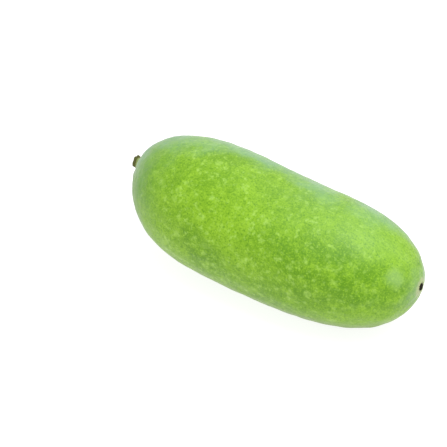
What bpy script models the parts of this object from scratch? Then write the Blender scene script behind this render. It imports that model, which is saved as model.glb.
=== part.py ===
"""A whole winter melon lying on its side, as picked: the fruit, the cut stub of its stem,
and the dry scar where the blossom was.

Metres, +Z up. The origin is the middle of the flat resting spot under the fruit. The fruit lies
along X, with its stem at -X and its blossom end at +X, and it curves a little towards +Y.
"""

import math

import bmesh
import bpy
from mathutils import Vector

# The fruit's driving sizes.
FRUIT_LENGTH = 0.290
FRUIT_DIAMETER = 0.118
TAPER = -0.059            # the girth's change from the middle to the blossom end, as a share
BEND = 0.0078             # how far the ends curve away sideways
FLAT_DEPTH = 0.0009       # how much its weight and the ground have flattened its belly

# How full each end is: radius = (1 - s ** shoulder) ** (1 / cap), with s from 0 to 1, and how far
# its tip sits off the middle of its cap, sideways and upwards.
STEM_SHOULDER, STEM_CAP = 3.47, 1.70
STEM_TIP_Y, STEM_TIP_Z = 0.0035, 0.0015
BLOSSOM_SHOULDER, BLOSSOM_CAP = 4.11, 1.77
BLOSSOM_TIP_Y, BLOSSOM_TIP_Z = 0.0041, 0.0035
BLOSSOM_SLANT = 0.10      # the blossom cap leans back on its upper far side, as a slope
SLANT_ANGLE = math.radians(40)

# Uneven swells of the flesh: (height, waves along, waves round, phase).
SWELLS = (
    (0.00042, 6.5, 1, 1.1),
    (0.00030, 2.6, 2, 1.7),
    (0.00018, -4.0, 3, 0.5),
)

# The hollow round the stem and the dimple round the scar.
STEM_HOLLOW_DEPTH, STEM_HOLLOW_RADIUS = 0.0023, 0.0105
DIMPLE_DEPTH, DIMPLE_RADIUS = 0.0020, 0.0072
CORK_RING_RADIUS, CORK_RING_WIDTH, CORK_RING_HEIGHT = 0.0049, 0.0012, 0.0005

# Creases that gather the skin at the ends.
CREASE_COUNT = 10
STEM_CREASE_DEPTH, BLOSSOM_CREASE_DEPTH = 0.0006, 0.0003
CREASE_RADIUS, CREASE_WIDTH = 0.0160, 0.0085

# The stem's stub.
STEM_LENGTH = 0.0072
STEM_FOOT_RADIUS, STEM_NECK_RADIUS, STEM_CUT_RADIUS = 0.0082, 0.0053, 0.0057
STEM_RISE = 0.0012        # how far the cut end has turned up
STEM_RIDGES, STEM_RIDGE_SHARE = 5, 0.09
STEM_CUT_SLANT = 0.10     # the knife's slant, as a slope
PITH_RADIUS, PITH_DEPTH = 0.0019, 0.0009

# The scar.
SCAR_RADIUS, SCAR_THICKNESS = 0.0031, 0.0013
SCAR_PIT_RADIUS, SCAR_PIT_DEPTH = 0.0013, 0.0006
SCAR_TEETH, SCAR_TOOTH_SHARE = 7, 0.10

GAP = 0.0003              # between pieces that touch
FRUIT_RINGS, FRUIT_SIDES = 50, 80
STEM_SIDES, SCAR_SIDES = 50, 42
RING_CLUSTERING = 0.22    # how much closer the rings stand at the ends

HALF_LENGTH = FRUIT_LENGTH / 2
FRUIT_RADIUS = FRUIT_DIAMETER / 2


def clear_scene():
    for obj in list(bpy.data.objects):
        bpy.data.objects.remove(obj)


def material(name, colour, roughness):
    made = bpy.data.materials.new(name)
    made.use_nodes = True
    shader = made.node_tree.nodes["Principled BSDF"]
    shader.inputs["Base Color"].default_value = (*colour, 1.0)
    shader.inputs["Roughness"].default_value = roughness
    shader.inputs["Metallic"].default_value = 0.0
    return made


def bell(distance, width):
    """1 at no distance, falling smoothly to nothing past about twice the width."""
    return math.exp(-((distance / width) ** 2))


def turned(profile, sides):
    """A closed surface turned round X, from a profile of (x, radius) that starts and ends on X."""
    body = bmesh.new()
    points = [body.verts.new((x, radius, 0.0)) for x, radius in profile]
    chain = [body.edges.new(pair) for pair in zip(points, points[1:])]
    bmesh.ops.spin(
        body, geom=points + chain, cent=(0, 0, 0), axis=(1, 0, 0),
        angle=math.tau, steps=sides, use_merge=True,
    )
    bmesh.ops.remove_doubles(body, verts=body.verts, dist=1e-6)
    bmesh.ops.recalc_face_normals(body, faces=body.faces)
    return body


def finished(body, name, look, at=(0.0, 0.0, 0.0)):
    """The bmesh as a smooth-shaded object with its material."""
    mesh = bpy.data.meshes.new(name)
    body.to_mesh(mesh)
    body.free()
    mesh.shade_smooth()
    mesh.set_sharp_from_angle(angle=math.radians(50))
    mesh.materials.append(look)
    obj = bpy.data.objects.new(name, mesh)
    obj.location = at
    bpy.context.scene.collection.objects.link(obj)
    return obj


def centre_line(s):
    """The middle of the fruit's cross-section. s runs from -1 at the stem to 1 at the blossom end.
    The belly lies level, so the middle is lower where the fruit is thinner."""
    tip_y, tip_z = (STEM_TIP_Y, STEM_TIP_Z) if s < 0 else (BLOSSOM_TIP_Y, BLOSSOM_TIP_Z)
    return Vector((
        s * HALF_LENGTH,
        BEND * s ** 2 + tip_y * s ** 10,
        FRUIT_RADIUS * (1 + TAPER * s) - FLAT_DEPTH + tip_z * s ** 10,
    ))


def girth(s):
    """The fruit's radius at s, before its swells."""
    shoulder, cap = (STEM_SHOULDER, STEM_CAP) if s < 0 else (BLOSSOM_SHOULDER, BLOSSOM_CAP)
    return FRUIT_RADIUS * (1 + TAPER * s) * max(0.0, 1 - abs(s) ** shoulder) ** (1 / cap)


def swell(s, angle):
    """The sum of the slow waves in the flesh, which die out at the ends."""
    waves = (
        height * math.cos(along * s + around * angle + phase)
        for height, along, around, phase in SWELLS
    )
    return sum(waves) * (1 - s ** 4)


def sunk(s, radius, angle):
    """How far the skin lies inside the plain cap: the hollow or the dimple, and the creases."""
    crease = 0.5 + 0.5 * math.cos(CREASE_COUNT * angle + 0.4 * math.sin(2 * angle))
    crease *= bell(radius - CREASE_RADIUS, CREASE_WIDTH)
    if s < 0:
        return STEM_HOLLOW_DEPTH * bell(radius, STEM_HOLLOW_RADIUS) + STEM_CREASE_DEPTH * crease
    ring = CORK_RING_HEIGHT * bell(radius - CORK_RING_RADIUS, CORK_RING_WIDTH)
    return DIMPLE_DEPTH * bell(radius, DIMPLE_RADIUS) - ring + BLOSSOM_CREASE_DEPTH * crease


def skin_point(plain):
    """Where a point of the plain turned fruit goes on the real one."""
    s = plain.x / HALF_LENGTH
    radius = math.hypot(plain.y, plain.z)
    angle = math.atan2(plain.z, plain.y)
    full = radius * (1 + swell(s, angle) / FRUIT_RADIUS)
    middle = centre_line(s)
    inwards = sunk(s, radius, angle)
    if s > 0:
        inwards = -inwards - BLOSSOM_SLANT * radius * math.cos(angle - SLANT_ANGLE) * s ** 6
    return Vector((
        middle.x + inwards,
        middle.y + full * math.cos(angle),
        max(0.0, middle.z + full * math.sin(angle)),
    ))


def fruit(look):
    """The fruit: one turned body, then bent, swollen, creased and pressed flat where it rests."""
    profile = []
    for ring in range(FRUIT_RINGS + 1):
        t = math.pi * ring / FRUIT_RINGS
        s = -math.cos(t - RING_CLUSTERING * math.sin(2 * t))
        profile.append((s * HALF_LENGTH, girth(s)))
    profile[0] = (-HALF_LENGTH, 0.0)
    profile[-1] = (HALF_LENGTH, 0.0)
    body = turned(profile, FRUIT_SIDES)
    for vert in body.verts:
        vert.co = skin_point(vert.co)
    return finished(body, "melon_fruit", look)


def stem(look):
    """The stub of the stalk: a flared foot in the hollow, a neck with five ridges, and a slanting
    cut with a sunken pith. Its own X runs out of the fruit, so it is turned round by half a turn."""
    wall = [
        (0.00, STEM_FOOT_RADIUS), (0.08, STEM_FOOT_RADIUS), (0.18, 0.0072), (0.32, 0.0061),
        (0.50, STEM_NECK_RADIUS), (0.72, 0.0054), (0.90, STEM_CUT_RADIUS), (0.98, 0.0055),
        (1.00, 0.0051),
    ]
    profile = [(0.0, 0.0)] + [(share * STEM_LENGTH, radius) for share, radius in wall]
    profile += [
        (STEM_LENGTH - 0.0003, PITH_RADIUS),
        (STEM_LENGTH - PITH_DEPTH, 0.6 * PITH_RADIUS),
        (STEM_LENGTH - PITH_DEPTH, 0.0),
    ]
    body = turned(profile, STEM_SIDES)
    for vert in body.verts:
        share = vert.co.x / STEM_LENGTH
        angle = math.atan2(vert.co.z, vert.co.y)
        ridge = 1 + STEM_RIDGE_SHARE * math.cos(STEM_RIDGES * angle) * min(1.0, 0.3 + share)
        vert.co.y *= ridge
        vert.co.z *= ridge
        vert.co.x += STEM_CUT_SLANT * vert.co.z * share ** 3
        vert.co.z += STEM_RISE * share ** 2
    seat = centre_line(-1)
    seat.x += STEM_HOLLOW_DEPTH - GAP
    obj = finished(body, "cut_stem", look, seat)
    obj.rotation_euler = (0.0, 0.0, math.pi)
    return obj


def scar(look):
    """The dry plate left by the blossom: a low disc with a ragged rim and a pit in the middle."""
    profile = [
        (0.0, 0.0), (0.0, 0.86 * SCAR_RADIUS), (0.35 * SCAR_THICKNESS, SCAR_RADIUS),
        (0.85 * SCAR_THICKNESS, 0.92 * SCAR_RADIUS), (SCAR_THICKNESS, 0.72 * SCAR_RADIUS),
        (0.80 * SCAR_THICKNESS, SCAR_PIT_RADIUS),
        (SCAR_THICKNESS - SCAR_PIT_DEPTH, 0.5 * SCAR_PIT_RADIUS),
        (SCAR_THICKNESS - SCAR_PIT_DEPTH, 0.0),
    ]
    body = turned(profile, SCAR_SIDES)
    for vert in body.verts:
        angle = math.atan2(vert.co.z, vert.co.y)
        ragged = 1 + SCAR_TOOTH_SHARE * math.cos(SCAR_TEETH * angle + math.sin(2 * angle))
        vert.co.y *= ragged
        vert.co.z *= ragged
        vert.co.x -= BLOSSOM_SLANT * (
            vert.co.y * math.cos(SLANT_ANGLE) + vert.co.z * math.sin(SLANT_ANGLE)
        )
    seat = centre_line(1)
    seat.x += GAP - DIMPLE_DEPTH
    return finished(body, "blossom_scar", look, seat)


def main():
    clear_scene()
    fruit(material("waxy_skin", (0.29, 0.56, 0.08), 0.45))
    stem(material("dry_stalk", (0.12, 0.11, 0.035), 0.85))
    scar(material("dry_scar", (0.020, 0.016, 0.008), 0.9))


main()
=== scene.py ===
"""The looks of a whole young winter melon, as picked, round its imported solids.

Metres, +Z up, in the solids' own frame: the fruit lies along X with its stem at -X, and the
origin is the middle of the flat spot that it rests on.
"""

import math

import bpy
import numpy as np
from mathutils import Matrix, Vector


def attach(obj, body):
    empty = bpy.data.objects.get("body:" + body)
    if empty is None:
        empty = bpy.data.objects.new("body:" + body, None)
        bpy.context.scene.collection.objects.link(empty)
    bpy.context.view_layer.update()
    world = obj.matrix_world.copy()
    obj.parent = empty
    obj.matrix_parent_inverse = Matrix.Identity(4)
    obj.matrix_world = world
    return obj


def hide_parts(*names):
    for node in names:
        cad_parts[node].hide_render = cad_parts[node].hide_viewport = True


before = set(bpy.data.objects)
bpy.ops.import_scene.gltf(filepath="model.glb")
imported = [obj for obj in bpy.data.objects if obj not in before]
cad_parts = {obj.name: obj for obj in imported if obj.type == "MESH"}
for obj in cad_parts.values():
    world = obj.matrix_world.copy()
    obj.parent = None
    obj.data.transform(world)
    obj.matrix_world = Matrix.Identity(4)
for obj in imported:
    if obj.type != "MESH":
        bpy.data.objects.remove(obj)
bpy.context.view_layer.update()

# The fruit. One firm body grew here under a thin waxy skin, light green with pale flecks.
# Its surface is worked out over two numbers, s along the fruit from -1 at the stem to 1 at the
# blossom end, and the angle round it. It keeps the solid's form and adds the fine relief.

HALF_LENGTH, GIRTH_RADIUS = 0.145, 0.059
TAPER, BEND, FLAT_DEPTH = -0.059, 0.0078, 0.0009
STEM_SHOULDER, STEM_CAP, STEM_TIP = 3.47, 1.70, (0.0035, 0.0015)
BLOSSOM_SHOULDER, BLOSSOM_CAP, BLOSSOM_TIP = 4.11, 1.77, (0.0041, 0.0035)
BLOSSOM_SLANT, SLANT_ANGLE = 0.10, math.radians(40)
HOLLOW_DEPTH, HOLLOW_RADIUS = 0.0023, 0.0105
DIMPLE_DEPTH, DIMPLE_RADIUS = 0.0020, 0.0072
CORK_RADIUS, CORK_WIDTH, CORK_HEIGHT = 0.0049, 0.0012, 0.0005
CREASES, CREASE_RADIUS, CREASE_WIDTH = 10, 0.0160, 0.0085
STEM_CREASE, BLOSSOM_CREASE, CREASE_SWAY = 0.0006, 0.0003, 0.4
SKIN_RINGS, SKIN_SIDES, END_CROWDING = 288, 330, 0.22

# Each swell has its height, its turns along and round the fruit, and its phase. Each relief wave
# has its height, its length and its seed. Each patch wave has its strength, its length and its
# seed. Each broad patch has its middle, its width and how much lighter it is.
SWELLS = ((0.00042, 6.5, 1, 1.1), (0.00030, 2.6, 2, 1.7), (0.00018, -4.0, 3, 0.5))
RELIEF_WAVES = ((0.00011, 0.016, 1), (0.00004, 0.006, 2))
RELIEF_END = 0.02
CORK_GRAIN, CORK_GRAIN_LENGTH, CORK_GRAIN_WIDTH = 0.00012, 0.0016, 1.6
PATCH_WAVES = ((0.80, 0.080, 1249), (0.52, 0.045, 1155), (0.25, 0.028, 3558))
# The band along the top is a painted highlight: lighter in the patches and paler in the finish.
CROWN_ANGLE, CROWN_WIDTH = math.radians(91), math.radians(13)
CROWN_MIDDLE, CROWN_RISE = 0.55, 0.6
BROAD_PATCHES = (
    (0.088, -0.038, 0.089, 0.030, -3.4), (0.124, -0.028, 0.073, 0.026, -1.4),
    (0.110, 0.003, 0.100, 0.022, 3.2), (-0.020, 0.018, 0.115, 0.022, 0.9),
    (-0.083, -0.042, 0.093, 0.022, -0.9), (-0.010, -0.027, 0.111, 0.022, -0.9),
    (0.127, -0.022, 0.035, 0.018, 1.6),
)


def centre_line(s):
    """The middle of the cross-section at s. It bends sideways as the square of s and keeps the
    belly level, and each tip moves off the middle by the tenth power of s."""
    tip_y = np.where(s < 0, STEM_TIP[0], BLOSSOM_TIP[0]) * s ** 10
    tip_z = np.where(s < 0, STEM_TIP[1], BLOSSOM_TIP[1]) * s ** 10
    level = GIRTH_RADIUS * (1 + TAPER * s) - FLAT_DEPTH
    return s * HALF_LENGTH, BEND * s ** 2 + tip_y, level + tip_z


def bell(distance, width):
    """1 at no distance, falling as the exponential of minus the square of distance over width."""
    return np.exp(-((distance / width) ** 2))


def skin_surface(s, angle):
    """Points of the skin, and their plain radii. The radius is that of the middle, thinner towards
    the blossom end, times (1 - s to the shoulder power) to the power of one over the cap number,
    plus three slow waves of the flesh. Each end sinks in along X as a bell where the stem or the
    scar sits, with creases. The blossom end slants, and a ring of cork stands round its scar."""
    shoulder = np.where(s < 0, STEM_SHOULDER, BLOSSOM_SHOULDER)
    cap = np.where(s < 0, STEM_CAP, BLOSSOM_CAP)
    fullness = np.clip(1 - np.abs(s) ** shoulder, 0, 1) ** (1 / cap)
    plain = GIRTH_RADIUS * (1 + TAPER * s) * fullness + 0 * angle
    swell = sum(h * np.cos(along * s + turns * angle + phase) for h, along, turns, phase in SWELLS)
    radius = plain * (1 + swell * (1 - s ** 4) / GIRTH_RADIUS)
    crease = 0.5 + 0.5 * np.cos(CREASES * angle + CREASE_SWAY * np.sin(2 * angle))
    crease = crease * bell(plain - CREASE_RADIUS, CREASE_WIDTH)
    at_stem = HOLLOW_DEPTH * bell(plain, HOLLOW_RADIUS) + STEM_CREASE * crease
    at_scar = DIMPLE_DEPTH * bell(plain, DIMPLE_RADIUS) + BLOSSOM_CREASE * crease
    at_scar = at_scar - CORK_HEIGHT * bell(plain - CORK_RADIUS, CORK_WIDTH)
    at_scar = at_scar + BLOSSOM_SLANT * plain * np.cos(angle - SLANT_ANGLE) * s ** 6
    x, y, z = centre_line(s)
    x = x + np.where(s < 0, at_stem, -at_scar)
    points = (x, y + radius * np.cos(angle), z + radius * np.sin(angle))
    return np.stack(np.broadcast_arrays(*points), -1), plain


def ripples(points, wavelength, seed, count=40):
    """Smooth uneven noise, mostly between -2 and 2: the sum of many sine waves that cross the
    space in random directions with random phases, so that it never repeats along the fruit."""
    draw = np.random.default_rng(seed)
    directions = draw.normal(size=(3, count))
    directions /= np.linalg.norm(directions, axis=0)
    phases = draw.uniform(0, math.tau, count)
    waves = np.sin(points @ directions * (math.tau / wavelength) + phases)
    return waves.sum(-1) * math.sqrt(2 / count)


def outward(grid):
    """Unit normals of a grid of points: the cross product of its steps round and along."""
    along = np.gradient(grid, axis=0)
    turning = np.roll(grid, -1, axis=1) - np.roll(grid, 1, axis=1)
    normal = np.cross(turning, along)
    return normal / np.maximum(np.linalg.norm(normal, axis=-1, keepdims=True), 1e-12)


def closed_mesh(name, rings, first_pole, last_pole):
    """A closed mesh from rings of points that run from one pole to the other. Its points are
    the first pole, the rings in order and the last pole. Faces point away from the axis."""
    count, sides = rings.shape[:2]
    points = np.concatenate([[first_pole], rings.reshape(-1, 3), [last_pole]])
    number = 1 + np.arange(count * sides).reshape(count, sides)
    beside = np.roll(number, -1, axis=1)
    quads = np.stack([number[:-1], beside[:-1], beside[1:], number[1:]], -1).reshape(-1, 4)
    first = np.stack([beside[0], number[0], 0 * number[0]], -1)
    last = np.stack([number[-1], beside[-1], 0 * number[0] + len(points) - 1], -1)
    faces = quads.tolist() + first.tolist() + last.tolist()
    mesh = bpy.data.meshes.new(name)
    mesh.from_pydata(points.tolist(), [], faces)
    mesh.shade_smooth()
    piece = bpy.data.objects.new(name, mesh)
    bpy.context.scene.collection.objects.link(piece)
    return piece


def keep_values(piece, name, rings, first, last):
    """Stores one number for each point of a closed mesh, in the order of its points."""
    values = np.concatenate([[first], np.ravel(rings), [last]]).astype(np.float32)
    piece.data.attributes.new(name, "FLOAT", "POINT").data.foreach_set("value", values)


step = np.linspace(0, math.pi, SKIN_RINGS + 2)[1:-1, None]
s = -np.cos(step - END_CROWDING * np.sin(2 * step))
angle = np.linspace(0, math.tau, SKIN_SIDES, endpoint=False)[None, :]
skin_rings, plain_radius = skin_surface(s, angle)
poles, _ = skin_surface(np.array([[-1.0], [1.0]]), np.array([[0.0]]))
stem_pole, blossom_pole = poles[:, 0]

# A painted highlight: a band along the top, stronger towards the blossom end, added to the patches
# as lighter tone.
crown_highlight = bell(angle - CROWN_ANGLE, CROWN_WIDTH) * (CROWN_MIDDLE + CROWN_RISE * s)
patches = sum(share * ripples(skin_rings, length, seed) for share, length, seed in PATCH_WAVES)
patches += crown_highlight
for x, y, z, width, lightness in BROAD_PATCHES:
    patches += lightness * bell(np.linalg.norm(skin_rings - [x, y, z], axis=-1), width)

relief = sum(share * ripples(skin_rings, length, seed, 60) for share, length, seed in RELIEF_WAVES)
relief *= 1 - bell(1 - np.abs(s), RELIEF_END)
corky = bell(plain_radius - CORK_RADIUS, CORK_GRAIN_WIDTH * CORK_WIDTH) * (s > 0)
relief += CORK_GRAIN * corky * ripples(skin_rings, CORK_GRAIN_LENGTH, seed=3)
skin_rings = skin_rings + outward(skin_rings) * relief[..., None]
skin_rings[..., 2] = np.maximum(skin_rings[..., 2], 0.0)
fruit = closed_mesh("melon_skin", skin_rings, stem_pole, blossom_pole)
keep_values(fruit, "patch", patches, patches[0].mean(), patches[-1].mean())
keep_values(fruit, "crown_highlight", crown_highlight, 0.0, 0.0)
keep_values(fruit, "from_stem", np.where(s < 0, plain_radius, 1.0), 0.0, 1.0)
keep_values(fruit, "from_scar", np.where(s > 0, plain_radius, 1.0), 1.0, 0.0)


def add(tree, kind, inputs=None, **settings):
    """Adds a node with its settings. Each input gets a plain value or another node's output."""
    made = tree.nodes.new(kind)
    for key, value in settings.items():
        setattr(made, key, value)
    for key, value in (inputs or {}).items():
        if isinstance(value, bpy.types.NodeSocket):
            tree.links.new(value, made.inputs[key])
        else:
            made.inputs[key].default_value = value
    return made


def noise(tree, where, size, detail=2.0, roughness=0.5):
    """Uneven values about 0.5 whose lumps are about size metres across."""
    inputs = {"Vector": where, "Scale": 1 / size, "Detail": detail, "Roughness": roughness}
    return add(tree, "ShaderNodeTexNoise", inputs).outputs[0]


def span(tree, value, start, end, low=0.0, high=1.0):
    """Smoothly from low to high while the value goes from start to end."""
    inputs = {"Value": value, "From Min": start, "From Max": end, "To Min": low, "To Max": high}
    return add(tree, "ShaderNodeMapRange", inputs, interpolation_type="SMOOTHSTEP").outputs[0]


def maths(tree, operation, one, other=0.0):
    """One or two values put through an operation of the maths node."""
    return add(tree, "ShaderNodeMath", {0: one, 1: other}, operation=operation).outputs[0]


def sum_of(tree, one, other):
    """The sum of two values."""
    return maths(tree, "ADD", one, other)


def product(tree, one, *others):
    """The product of two or more values."""
    for other in others:
        one = maths(tree, "MULTIPLY", one, other)
    return one


def over(tree, amount, below, above):
    """One colour laid over another by an amount."""
    inputs = {0: amount, 6: below, 7: above}
    return add(tree, "ShaderNodeMix", inputs, data_type="RGBA").outputs[2]


def stored(tree, name):
    """The value that the mesh keeps under a name."""
    return add(tree, "ShaderNodeAttribute", attribute_name=name).outputs["Fac"]


def new_finish(name):
    """An empty material, with its node tree, its surface shader and its object coordinates."""
    made = bpy.data.materials.new(name)
    made.use_nodes = True
    tree = made.node_tree
    place = add(tree, "ShaderNodeTexCoord").outputs["Object"]
    return made, tree, tree.nodes["Principled BSDF"], place


def dress(tree, shader, colour, rough, lumps, bump_share, bump_depth, specular):
    """Gives a surface its colour, its roughness, its fine bumps and its share of mirror shine."""
    tree.links.new(colour, shader.inputs["Base Color"])
    tree.links.new(rough, shader.inputs["Roughness"])
    inputs = {"Strength": bump_share, "Distance": bump_depth, "Height": lumps}
    bump = add(tree, "ShaderNodeBump", inputs)
    tree.links.new(bump.outputs[0], shader.inputs["Normal"])
    shader.inputs["Specular IOR Level"].default_value = specular


def warped(tree, place, size, amount):
    """Coordinates pushed about by uneven noise, which makes round marks irregular. The push is the
    noise less a half, times the amount."""
    inputs = {"Vector": place, "Scale": 1 / size, "Detail": 2.0}
    push = add(tree, "ShaderNodeTexNoise", inputs).outputs["Color"]
    inputs = {0: push, 1: (0.5, 0.5, 0.5)}
    push = add(tree, "ShaderNodeVectorMath", inputs, operation="SUBTRACT").outputs[0]
    inputs = {0: push, 1: (amount, amount, amount), 2: place}
    return add(tree, "ShaderNodeVectorMath", inputs, operation="MULTIPLY_ADD").outputs[0]


def flecks(tree, place, cell, largest, crowding):
    """Soft spots, one to a cell: a random draw for each cell, times the crowding, times the largest
    radius as a share of the cell, less the distance from the spot's middle."""
    inputs = {"Vector": place, "Scale": 1 / cell}
    spots = add(tree, "ShaderNodeTexVoronoi", inputs)
    drawn = add(tree, "ShaderNodeSeparateColor", {0: spots.outputs["Color"]}).outputs[0]
    radius = product(tree, drawn, crowding, largest)
    return maths(tree, "SUBTRACT", radius, spots.outputs["Distance"])


DEEP_GREEN = (0.084, 0.228, 0.001, 1)
SHADED_GREEN = (0.106, 0.260, 0.001, 1)
SUNNY_GREEN = (0.199, 0.396, 0.009, 1)
LIGHT_GREEN = (0.254, 0.469, 0.021, 1)
FLECK_GREEN = (0.41, 0.65, 0.13, 1)
STEM_END_GREEN = (0.098, 0.255, 0.045, 1)
# Grey of the waxy bloom; on the far side it also paints a pale sheen on the upper rim.
BLOOM_AND_SHEEN_GREY = (0.183, 0.370, 0.228, 1)
HALO_PALE = (0.27, 0.40, 0.24, 1)
# Pale colour of the painted highlights: the spot near the blossom end and the band along the top.
HIGHLIGHT_PALE = (0.27, 0.455, 0.135, 1)
# Darker green of the painted shade on the underside.
BELLY_SHADE_GREEN = (0.14, 0.22, 0.05, 1)
CORK_TAN = (0.37, 0.42, 0.20, 1)
NECK_PALE = (0.34, 0.45, 0.15, 1)

# Each noise has the size of its lumps, how many finer layers it has, and their strength.
GRAIN_NOISE, CLOUD_NOISE, MOTTLE_NOISE = (0.0016, 3, 0.78), (0.012, 4, 0.6), (0.0052, 4, 0.6)
CROWD_NOISE, BREAK_NOISE, BLOOM_NOISE = (0.024, 2), (0.0034, 2), (0.036, 5, 0.6)
WANDER_NOISE, WANDER_REACH = (0.045, 4, 0.55), 0.08
UNEVEN_NOISE, UNEVEN_REACH = (0.03, 3), 0.06
BELLY_NOISE, BELLY_REACH = (0.025, 3), 0.020
RAGGED_NOISE, RAGGED_REACH = (0.0022, 3), 0.0030
GLOSS_NOISE, PORE_SIZE = (0.02, 4, 0.6), 0.0011

# Each span has where a layer starts to change, where it stops, and how strong it is at each.
PATCHES, CLOUDS = (-3.2, 2.6), (0.42, 0.70, 0.0, 0.65)
LIGHT_GRAIN, DEEP_GRAIN = (0.50, 0.68, 0.0, 0.90), (0.50, 0.31, 0.0, 1.00)
LIGHT_MOTTLE, DEEP_MOTTLE = (0.52, 0.74, 0.0, 0.46), (0.46, 0.28, 0.0, 0.33)
TOWARDS_ENDS = (0.055, 0.125, 1.0, 0.45)
CROWDING, BREAKS = (0.36, 0.64, 0.70, 1.0), (0.34, 0.62, 0.25, 1.0)
BLOOM_ON_TOP, BLOOM_BLOSSOMWARD = (0.080, 0.118, 0.02, 0.30), (-0.03, 0.13, 0.06, 1.0)
BLOOM_NEAR_SIDE, FAR_SIDE_BLOOM_AND_SHEEN = (0.022, -0.010, 0.60, 1.1), (0.000, 0.033, 0.0, 1.05)
BLOOM_STEMWARD, BLOOM_ROUND_STEM = (0.09, -0.08, 0.84, 1.12), (0.078, 0.045, 0.0, 0.56)
BLOOM_ON_GRAIN, BLOOM_LEAN, BLOOM_MOST = (0.32, 0.68, 1.15, 0.85), 0.09, 0.58
STEM_END, HALO = (-0.050, -0.115, 0.0, 0.60), (0.062, 0.038, 0.0, 0.40)
# The spot and the band along the top take a painted highlight, pale colour where a soft light
# shines.
HIGHLIGHT_SPOT_PLACE, HIGHLIGHT_SPOT_WARP = (0.130, -0.012, 0.081), 0.010
HIGHLIGHT_SPOT, CROWN_HIGHLIGHT = (0.0130, 0.0035, 0.0, 0.52), 0.15
BELLY, BELLY_BLOSSOMWARD = (0.036, -0.004, 0.0, 0.80), (0.02, 0.12, 0.62, 1.15)
CORK, NECK = (0.0125, 0.0072, 0.0, 0.80), (0.0180, 0.0090, 0.0, 0.40)
SKIN_ROUGHNESS, SKIN_SHINE = (0.3, 0.7, 0.38, 0.52), 0.20
SKIN_BUMP, SKIN_BUMP_DEPTH, GRAIN_SHARE, PORE_SHARE = 0.6, 0.00016, 0.6, 0.4
SHEEN, SHEEN_SPREAD, SHEEN_TINT = 0.16, 0.45, (1.0, 0.72, 1.0, 1)

# Each size of fleck has the size and the amount of its warp, its cell, its largest radius as a
# share of the cell, the width of its soft edge and its strength.
FLECK_SIZES = (
    (0.005, 0.0046, 0.0100, 0.56, 0.30, 0.36),
    (0.003, 0.0024, 0.0052, 0.62, 0.34, 0.42),
)


def skin_greens(tree, place, fine, x):
    """The skin's own colour: broad patches between two greens, lighter clouds, grain and mottle
    that are both lighter and deeper, and flecks of two sizes. The flecks and the light mottle fade
    towards both ends."""
    patches = span(tree, stored(tree, "patch"), *PATCHES)
    colour = over(tree, patches, SHADED_GREEN, SUNNY_GREEN)
    clouds = span(tree, noise(tree, place, *CLOUD_NOISE), *CLOUDS)
    colour = over(tree, clouds, colour, LIGHT_GREEN)
    colour = over(tree, span(tree, fine, *LIGHT_GRAIN), colour, LIGHT_GREEN)
    colour = over(tree, span(tree, fine, *DEEP_GRAIN), colour, DEEP_GREEN)

    fading = span(tree, maths(tree, "ABSOLUTE", x), *TOWARDS_ENDS)
    mottle = noise(tree, place, *MOTTLE_NOISE)
    light = product(tree, span(tree, mottle, *LIGHT_MOTTLE), fading)
    colour = over(tree, light, colour, FLECK_GREEN)
    colour = over(tree, span(tree, mottle, *DEEP_MOTTLE), colour, DEEP_GREEN)

    crowding = span(tree, noise(tree, place, *CROWD_NOISE), *CROWDING)
    broken = product(tree, span(tree, noise(tree, place, *BREAK_NOISE), *BREAKS), fading)
    for warp_size, warp, cell, largest, edge, strength in FLECK_SIZES:
        spots = flecks(tree, warped(tree, place, warp_size, warp), cell, largest, crowding)
        spots = product(tree, span(tree, spots, 0.0, edge), broken, strength)
        colour = over(tree, spots, colour, FLECK_GREEN)
    return colour


def bloom_and_sheen_cover(tree, place, fine, uneven, x, y, height):
    """How much grey lies on the skin, as waxy bloom and as painted sheen: a little on top, most of
    it near the blossom end, more on the far side past a line that leans and wanders, where it also
    paints a pale sheen on the upper rim, and more round the stem. The sum of the three is
    multiplied by uneven noise and by a span of the grain, and is kept under a limit."""
    on_top = product(
        tree,
        span(tree, height, *BLOOM_ON_TOP),
        span(tree, x, *BLOOM_BLOSSOMWARD),
        span(tree, y, *BLOOM_NEAR_SIDE),
    )

    # On the far side the grey is painted sheen as well as bloom, and it greys the upper rim.
    wander = sum_of(tree, noise(tree, place, *WANDER_NOISE), -0.5)
    sideways = maths(tree, "SUBTRACT", y, product(tree, x, BLOOM_LEAN))
    sideways = sum_of(tree, sideways, product(tree, wander, WANDER_REACH))
    far_side_bloom_and_sheen = product(
        tree,
        span(tree, sideways, *FAR_SIDE_BLOOM_AND_SHEEN),
        span(tree, x, *BLOOM_STEMWARD),
    )

    off_stem = sum_of(tree, stored(tree, "from_stem"), uneven)
    round_stem = span(tree, off_stem, *BLOOM_ROUND_STEM)
    cover = sum_of(tree, sum_of(tree, on_top, far_side_bloom_and_sheen), round_stem)
    on_grain = span(tree, fine, *BLOOM_ON_GRAIN)
    cover = product(tree, noise(tree, place, *BLOOM_NOISE), cover, on_grain)
    return maths(tree, "MINIMUM", cover, BLOOM_MOST)


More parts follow.
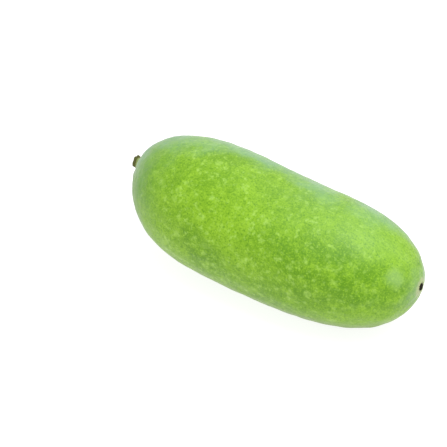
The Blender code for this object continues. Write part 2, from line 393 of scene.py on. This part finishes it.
def waxy_skin():
    """The skin's finish: its greens and flecks, a greyer stem end, waxy bloom that also paints a
    pale sheen on the far side, a pale halo round the scar, a painted highlight along the top and in
    one spot near the blossom end, painted shade darkening the underside, a ring of cork round the
    scar and a pale neck round the stem. A soft sheen stands for the thin waxy film."""
    made, tree, shader, place = new_finish("waxy_skin")
    x, y, height = add(tree, "ShaderNodeSeparateXYZ", {0: place}).outputs
    fine = noise(tree, place, *GRAIN_NOISE)
    uneven = product(tree, noise(tree, place, *UNEVEN_NOISE), UNEVEN_REACH)
    colour = skin_greens(tree, place, fine, x)

    stemward = span(tree, sum_of(tree, x, uneven), *STEM_END)
    colour = over(tree, stemward, colour, STEM_END_GREEN)
    cover = bloom_and_sheen_cover(tree, place, fine, uneven, x, y, height)
    colour = over(tree, cover, colour, BLOOM_AND_SHEEN_GREY)
    off_scar = stored(tree, "from_scar")
    halo = span(tree, sum_of(tree, off_scar, uneven), *HALO)
    colour = over(tree, halo, colour, HALO_PALE)

    # Painted highlight: a pale, warped spot near the blossom end, plus the pale band along the top.
    inputs = {0: warped(tree, place, HIGHLIGHT_SPOT_WARP, HIGHLIGHT_SPOT_WARP), 1: HIGHLIGHT_SPOT_PLACE}
    off_spot = add(tree, "ShaderNodeVectorMath", inputs, operation="DISTANCE").outputs["Value"]
    painted_highlight = span(tree, off_spot, *HIGHLIGHT_SPOT)
    painted_highlight = sum_of(tree, painted_highlight, product(tree, stored(tree, "crown_highlight"), CROWN_HIGHLIGHT))
    colour = over(tree, painted_highlight, colour, HIGHLIGHT_PALE)

    # Painted shade: the underside turns darker towards the table, more so towards the blossom end.
    lifted = product(tree, noise(tree, place, *BELLY_NOISE), BELLY_REACH)
    belly = span(tree, maths(tree, "SUBTRACT", height, lifted), *BELLY)
    belly = product(tree, belly, span(tree, x, *BELLY_BLOSSOMWARD))
    colour = over(tree, belly, colour, BELLY_SHADE_GREEN)

    ragged = product(tree, noise(tree, place, *RAGGED_NOISE), RAGGED_REACH)
    cork = span(tree, sum_of(tree, off_scar, ragged), *CORK)
    colour = over(tree, cork, colour, CORK_TAN)
    neck = span(tree, sum_of(tree, stored(tree, "from_stem"), ragged), *NECK)
    colour = over(tree, neck, colour, NECK_PALE)

    rough = span(tree, noise(tree, place, *GLOSS_NOISE), *SKIN_ROUGHNESS)
    pores = add(tree, "ShaderNodeTexVoronoi", {"Vector": place, "Scale": 1 / PORE_SIZE}).outputs[0]
    lumps = sum_of(tree, product(tree, fine, GRAIN_SHARE), product(tree, pores, PORE_SHARE))
    dress(tree, shader, colour, rough, lumps, SKIN_BUMP, SKIN_BUMP_DEPTH, SKIN_SHINE)
    shader.inputs["Sheen Weight"].default_value = SHEEN
    shader.inputs["Sheen Roughness"].default_value = SHEEN_SPREAD
    shader.inputs["Sheen Tint"].default_value = SHEEN_TINT
    return made


fruit.data.materials.append(waxy_skin())
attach(fruit, "root")
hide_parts("melon_fruit")

# The stub of the stalk. It is tough, angular and full of fibres, pale where it flares into the
# fruit and dried to olive brown at the end, where a knife cut it across.

STALK_LENGTH, STALK_NECK, STALK_SUNK = 0.0072, 0.00525, 0.0011
STALK_RISE, CUT_SLANT, EDGE_RADIUS = 0.0012, 0.10, 0.00035
FLARE, FLARE_REACH, FLARE_POWER = 0.0031, 0.27, 1.6
LIP, LIP_PLACE, LIP_WIDTH = 0.0004, 0.88, 0.14
TUCK, TUCK_PLACE, TUCK_WIDTH = 0.0006, -0.16, 0.06
RIDGES, RIDGE_SHARE, RIDGE_START = 5, 0.09, 0.3
RIDGE_CREST, CREST_PHASE = 0.25, 0.5
BUNDLE_HEIGHT, BUNDLE_PLACE, BUNDLE_WIDTH, BUNDLE_LEAST = 0.00022, 0.74, 0.09, 0.6
PITH_RADIUS, PITH_DEPTH, PITH_EDGE = 0.0019, 0.0009, 0.00016
GAP = 0.0003
WALL_RINGS, EDGE_RINGS, FACE_RINGS, STALK_SIDES = 110, 9, 60, 240

# Each lobe and each fibre wave has its height, how many go round, its sway, how many sways go
# round and its twist. Each sag of the cut has its depth, its place and its width.
LOBES = ((0.035, 2 * RIDGES, 0.4, 2, 0),)
FIBRES, FIBRE_START = ((0.016, 31, 1.3, 3, 2), (0.010, 53, 2.1, 2, -3)), 0.25
SAGS = ((0.00018, 0.50, 0.16), (0.00010, 0.90, 0.05))
FINE_WRINKLE, FINE_LENGTH, FINE_STRETCH = 0.00005, 0.0011, [0.5, 1, 1]
WRINKLE, WRINKLE_LENGTH, FOOT_WRINKLE = 0.00009, 0.0040, 0.3


def waves_round(waves, angle, rise=0.0):
    """The sum of waves round an axis. Each is its height times the cosine of a sum: its count
    times the angle, its sway times the sine of its swings times the angle, and its twist times
    the rise."""
    return sum(
        height * np.cos(count * angle + sway * np.sin(swings * angle) + twist * rise)
        for height, count, sway, swings, twist in waves
    )


def inside(radius, edge, softness):
    """1 inside an edge and 0 outside it: one over one plus the exponential of the distance past
    the edge over the softness."""
    return 1 / (1 + np.exp((radius - edge) / softness))


def stalk_surface(rings, angle):
    """Points of the stub. rings runs from 0 to 1 up the wall, to 2 over the rounded edge of the
    cut, and to 3 at the middle of the cut. The wall's radius is the neck, plus a flare that dies
    out from the foot, plus a lip near the end, less a tuck under the skin, times one plus the
    ridges, lobes and fibres. The cut is flat, with bundles raised on it, less sags and a pith."""
    share = np.clip(rings, 0, 1) * (1 + STALK_SUNK / STALK_LENGTH) - STALK_SUNK / STALK_LENGTH
    share = share * (1 - EDGE_RADIUS / STALK_LENGTH)
    above = np.clip(share, 0, 1)
    flare = np.exp(-((above / FLARE_REACH) ** FLARE_POWER))
    radius = STALK_NECK + FLARE * flare + LIP * bell(share - LIP_PLACE, LIP_WIDTH)
    radius = radius - TUCK * bell(share - TUCK_PLACE, TUCK_WIDTH)
    turn = np.clip(rings - 1, 0, 1) * math.pi / 2
    x = share * STALK_LENGTH + EDGE_RADIUS * np.sin(turn)
    radius = radius - EDGE_RADIUS * (1 - np.cos(turn))
    inward = 1 - np.clip(rings - 2, 0, 1)
    ridge = np.cos(RIDGES * angle) + RIDGE_CREST * np.cos(2 * RIDGES * angle + CREST_PHASE)
    ridge = RIDGE_SHARE * ridge * np.minimum(1, RIDGE_START + above)
    lobes = waves_round(LOBES, angle) * flare
    fibres = waves_round(FIBRES, angle, share) * (FIBRE_START + (1 - FIBRE_START) * above)
    radius = radius * (1 + ridge + lobes + fibres) * inward
    bundles = BUNDLE_LEAST + (1 - BUNDLE_LEAST) * np.cos(2 * RIDGES * angle)
    bundles = bell(inward - BUNDLE_PLACE, BUNDLE_WIDTH) * bundles
    sunk = sum(depth * bell(inward - place, width) for depth, place, width in SAGS)
    pith = inside(radius, PITH_RADIUS, PITH_EDGE)
    x = x + (BUNDLE_HEIGHT * bundles - sunk - PITH_DEPTH * pith) * (rings > 2)
    y, z = radius * np.cos(angle), radius * np.sin(angle)
    x = x + CUT_SLANT * z * above ** 3
    z = z + STALK_RISE * above ** 2
    seat_x, seat_y, seat_z = centre_line(np.array(-1.0))
    seat_x = seat_x + HOLLOW_DEPTH - GAP
    points = np.stack(np.broadcast_arrays(seat_x - x, seat_y - y, seat_z + z), -1)
    return points, share, inward


up_wall = np.linspace(0, 1, WALL_RINGS)
over_edge = np.linspace(1, 2, EDGE_RINGS)[1:]
to_middle = np.linspace(2, 3, FACE_RINGS + 1)[1:-1]
stalk_ring = np.concatenate([up_wall, over_edge, to_middle])[:, None]
angle = np.linspace(0, math.tau, STALK_SIDES, endpoint=False)[None, :]
stalk_rings, share, inward = stalk_surface(stalk_ring, angle)
foot_x, foot_y = stalk_rings[0, 0, 0], centre_line(np.array(-1.0))[1]
dried = FOOT_WRINKLE + (1 - FOOT_WRINKLE) * np.clip(share, 0, 1)
wrinkles = FINE_WRINKLE * ripples(stalk_rings * FINE_STRETCH, FINE_LENGTH, seed=4)
wrinkles += WRINKLE * ripples(stalk_rings, WRINKLE_LENGTH, seed=5)
stalk_rings = stalk_rings + outward(stalk_rings) * (wrinkles * dried)[..., None]
foot_middle = (foot_x, foot_y, stalk_rings[0, :, 2].mean())
stalk = closed_mesh("cut_stalk", stalk_rings, foot_middle, stalk_rings[-1].mean(0))
keep_values(stalk, "up_stalk", share + 0 * angle, 0.0, 1.0)
keep_values(stalk, "on_cut", np.where(stalk_ring > 1.5, 1 - inward, -1.0) + 0 * angle, -1.0, 1.0)

STALK_PALE = (0.30, 0.40, 0.13, 1)
STALK_OLIVE = (0.070, 0.092, 0.014, 1)
STALK_BROWN = (0.105, 0.090, 0.032, 1)
CUT_TAN = (0.27, 0.20, 0.10, 1)
CUT_DARK = (0.075, 0.052, 0.026, 1)
PITH_PALE = (0.36, 0.30, 0.18, 1)
STREAK_NOISE, STREAK_STRETCH, BLOTCH_NOISE = (0.0007, 3, 0.6), (0.12, 1, 1), (0.0025, 3, 0.6)
DRYING, BLOTCH_REACH, STREAK_REACH = (0.50, 0.66), 0.35, 0.25
BROWN_STREAKS, OLIVE_STREAKS = (0.35, 0.65), (0.60, 0.35, 0.0, 0.5)
CUT_EDGE, CUT_BLOTCHES, PITH = (0.0, 0.06), (0.35, 0.65), (0.60, 0.72, 0.0, 0.8)
BUNDLES_OUTER, BUNDLES_INNER, BUNDLES_DARK = (0.10, 0.20), (0.45, 0.34), 0.8
STALK_ROUGHNESS, STALK_SHINE = (0.3, 0.7, 0.70, 0.92), 0.3
STALK_BUMP, STALK_BUMP_DEPTH = 0.7, 0.00010


def dry_stalk():
    """The stalk's finish: pale green drying to olive brown, streaked along its fibres, with a
    tan cut that has a dark ring of bundles and a pale pith."""
    made, tree, shader, place = new_finish("dry_stalk")
    inputs = {"Vector": place, "Scale": STREAK_STRETCH}
    along_fibres = add(tree, "ShaderNodeMapping", inputs).outputs[0]
    streaks = noise(tree, along_fibres, *STREAK_NOISE)
    blotches = noise(tree, place, *BLOTCH_NOISE)
    dry = product(tree, sum_of(tree, blotches, -0.5), BLOTCH_REACH)
    dry = sum_of(tree, stored(tree, "up_stalk"), dry)
    dry = sum_of(tree, dry, product(tree, sum_of(tree, streaks, -0.5), STREAK_REACH))
    dead = over(tree, span(tree, streaks, *BROWN_STREAKS), STALK_OLIVE, STALK_BROWN)
    live = over(tree, span(tree, streaks, *OLIVE_STREAKS), STALK_PALE, STALK_OLIVE)
    colour = over(tree, span(tree, dry, *DRYING), live, dead)

    on_cut = stored(tree, "on_cut")
    face = over(tree, span(tree, blotches, *CUT_BLOTCHES), CUT_TAN, STALK_BROWN)
    outer, inner = span(tree, on_cut, *BUNDLES_OUTER), span(tree, on_cut, *BUNDLES_INNER)
    face = over(tree, product(tree, outer, inner, BUNDLES_DARK), face, CUT_DARK)
    face = over(tree, span(tree, on_cut, *PITH), face, PITH_PALE)
    colour = over(tree, span(tree, on_cut, *CUT_EDGE), colour, face)
    rough = span(tree, streaks, *STALK_ROUGHNESS)
    dress(tree, shader, colour, rough, streaks, STALK_BUMP, STALK_BUMP_DEPTH, STALK_SHINE)
    return made


stalk.data.materials.append(dry_stalk())
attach(stalk, "root")
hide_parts("cut_stem")

# The blossom scar. The withered foot of the blossom dried to a hard, near black plate with a torn
# rim and a pit, and it sits in the dimple inside its ring of cork.

SCAR_RADIUS, SCAR_THICKNESS, SCAR_SUNK = 0.0031, 0.0013, 0.0006
SCAR_FOOT, BULGE_POWER = 0.78, 1.3
SCAR_PIT, SCAR_PIT_DEPTH, SCAR_PIT_EDGE = 0.0013, 0.0007, 0.00013
STUB_HEIGHT, STUB_RADIUS, RIM_DROP = 0.00035, 0.00045, 0.00012
TEETH = ((0.10, 7, 1, 2, 0), (0.05, 17, 2, 1, 0))
FOLDS = ((0.03, 29, 2, 3, 0),)
TOP_WRINKLES = ((0.00010, 13, 0, 0, 3),)
CRUMPLE, CRUMPLE_LENGTH = 0.00007, 0.0014
SCAR_RINGS, SCAR_SIDES = 90, 150


def scar_surface(rings, angle):
    """Points of the scar. rings runs from 0 under the skin to 1 at the top of the rim and to 2 at
    the middle. The rim bulges as half a sine, its teeth and folds are waves of the angle, and its
    wrinkled top sinks into a pit with a small stub, a bell, in the middle."""
    rise = np.clip(rings, 0, 1)
    across = 1 - np.clip(rings - 1, 0, 1)
    bulge = SCAR_FOOT + (1 - SCAR_FOOT) * np.sin(math.pi * rise ** BULGE_POWER)
    torn = 1 + waves_round(TEETH, angle) * rise + waves_round(FOLDS, angle)
    radius = SCAR_RADIUS * bulge * torn * across
    crater = inside(radius, SCAR_PIT, SCAR_PIT_EDGE)
    wrinkle = waves_round(TOP_WRINKLES, angle, across) * across * (1 - crater)
    top = wrinkle - SCAR_PIT_DEPTH * crater + STUB_HEIGHT * bell(radius, STUB_RADIUS)
    x = rise * (SCAR_THICKNESS + SCAR_SUNK) - SCAR_SUNK
    x = x + (top - RIM_DROP * across ** 2) * (rings > 1)
    y, z = radius * np.cos(angle), radius * np.sin(angle)
    x = x - BLOSSOM_SLANT * (y * math.cos(SLANT_ANGLE) + z * math.sin(SLANT_ANGLE))
    seat_x, seat_y, seat_z = centre_line(np.array(1.0))
    seat_x = seat_x + GAP - DIMPLE_DEPTH
    return np.stack(np.broadcast_arrays(seat_x + x, seat_y + y, seat_z + z), -1)


scar_ring = np.linspace(0, 2, SCAR_RINGS + 1)[:-1, None]
angle = np.linspace(0, math.tau, SCAR_SIDES, endpoint=False)[None, :]
scar_rings = scar_surface(scar_ring, angle)
crumple = CRUMPLE * ripples(scar_rings, CRUMPLE_LENGTH, seed=6)
scar_rings = scar_rings + outward(scar_rings) * crumple[..., None]
scar = closed_mesh("blossom_plate", scar_rings, scar_rings[0].mean(0), scar_rings[-1].mean(0))

SCAR_BLACK = (0.010, 0.008, 0.005, 1)
SCAR_BROWN = (0.050, 0.032, 0.016, 1)
CRUMB_NOISE, BROWN_CRUMBS = (0.0009, 4, 0.65), (0.48, 0.74)
SCAR_ROUGHNESS, SCAR_SHINE = (0.3, 0.7, 0.80, 0.95), 0.2
SCAR_BUMP, SCAR_BUMP_DEPTH = 0.8, 0.00012


def dry_scar():
    """The scar's finish: near black, with brown crumbs."""
    made, tree, shader, place = new_finish("dry_scar")
    crumbs = noise(tree, place, *CRUMB_NOISE)
    colour = over(tree, span(tree, crumbs, *BROWN_CRUMBS), SCAR_BLACK, SCAR_BROWN)
    rough = span(tree, crumbs, *SCAR_ROUGHNESS)
    dress(tree, shader, colour, rough, crumbs, SCAR_BUMP, SCAR_BUMP_DEPTH, SCAR_SHINE)
    return made


scar.data.materials.append(dry_scar())
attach(scar, "root")
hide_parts("blossom_scar")

# The table and the light. A plain white top that glows a little, as a lit table does, under a
# white surround and one big soft light from above and behind.

TABLE_HALF, TABLE_LEVEL = 4.0, -0.0001
TABLE_WHITE, TABLE_GLOW, TABLE_ROUGHNESS = 0.35, 0.83, 0.9
SURROUND = 0.90
KEY_PLACE, KEY_AIM = Vector((0.45, 0.00, 1.6)), Vector((0, 0, 0.05))
KEY_SIZE, KEY_POWER = 1.0, 20

signs = ((-1, -1), (1, -1), (1, 1), (-1, 1))
corners = [(x * TABLE_HALF, y * TABLE_HALF, TABLE_LEVEL) for x, y in signs]
table_mesh = bpy.data.meshes.new("table")
table_mesh.from_pydata(corners, [], [(0, 1, 2, 3)])
table = bpy.data.objects.new("table", table_mesh)
bpy.context.scene.collection.objects.link(table)
table_finish, _, table_shader, _ = new_finish("white_table")
table_shader.inputs["Base Color"].default_value = (TABLE_WHITE, TABLE_WHITE, TABLE_WHITE, 1)
table_shader.inputs["Roughness"].default_value = TABLE_ROUGHNESS
table_shader.inputs["Specular IOR Level"].default_value = 0.0
table_shader.inputs["Emission Color"].default_value = (1, 1, 1, 1)
table_shader.inputs["Emission Strength"].default_value = TABLE_GLOW
table_mesh.materials.append(table_finish)

surround = bpy.data.worlds.new("surround")
surround.use_nodes = True
background = surround.node_tree.nodes["Background"]
background.inputs["Color"].default_value = (1, 1, 1, 1)
background.inputs["Strength"].default_value = SURROUND
bpy.context.scene.world = surround

lamp = bpy.data.lights.new("key", "AREA")
lamp.size = KEY_SIZE
lamp.energy = KEY_POWER
key = bpy.data.objects.new("key", lamp)
key.location = KEY_PLACE
key.rotation_euler = (KEY_AIM - KEY_PLACE).to_track_quat("-Z", "Y").to_euler()
bpy.context.scene.collection.objects.link(key)

# The camera. It looks along the picture's line of sight, level and without shift, from the height
# and the distance that the picture shows.

CAMERA_YAW, CAMERA_HEIGHT, CAMERA_DISTANCE = math.radians(30.52), math.radians(43.0), 1.74
CAMERA_LENS, CAMERA_SENSOR = 159.35, 36
AIM_RIGHT, AIM_UP = -0.0412, 0.0078

camera = bpy.data.objects.new("camera", bpy.data.cameras.new("camera"))
bpy.context.scene.collection.objects.link(camera)
bpy.context.scene.camera = camera
camera.data.lens = CAMERA_LENS
camera.data.sensor_width = CAMERA_SENSOR
middle = Vector((0, 0, GIRTH_RADIUS - FLAT_DEPTH))
back = Vector((
    math.sin(CAMERA_YAW) * math.cos(CAMERA_HEIGHT),
    -math.cos(CAMERA_YAW) * math.cos(CAMERA_HEIGHT),
    math.sin(CAMERA_HEIGHT),
))
right = Vector((math.cos(CAMERA_YAW), math.sin(CAMERA_YAW), 0))
up = back.cross(right)
camera.location = middle + back * CAMERA_DISTANCE
aim = middle + right * AIM_RIGHT + up * AIM_UP
camera.rotation_euler = (aim - camera.location).to_track_quat("-Z", "Y").to_euler()
bpy.context.scene.view_settings.view_transform = "Standard"
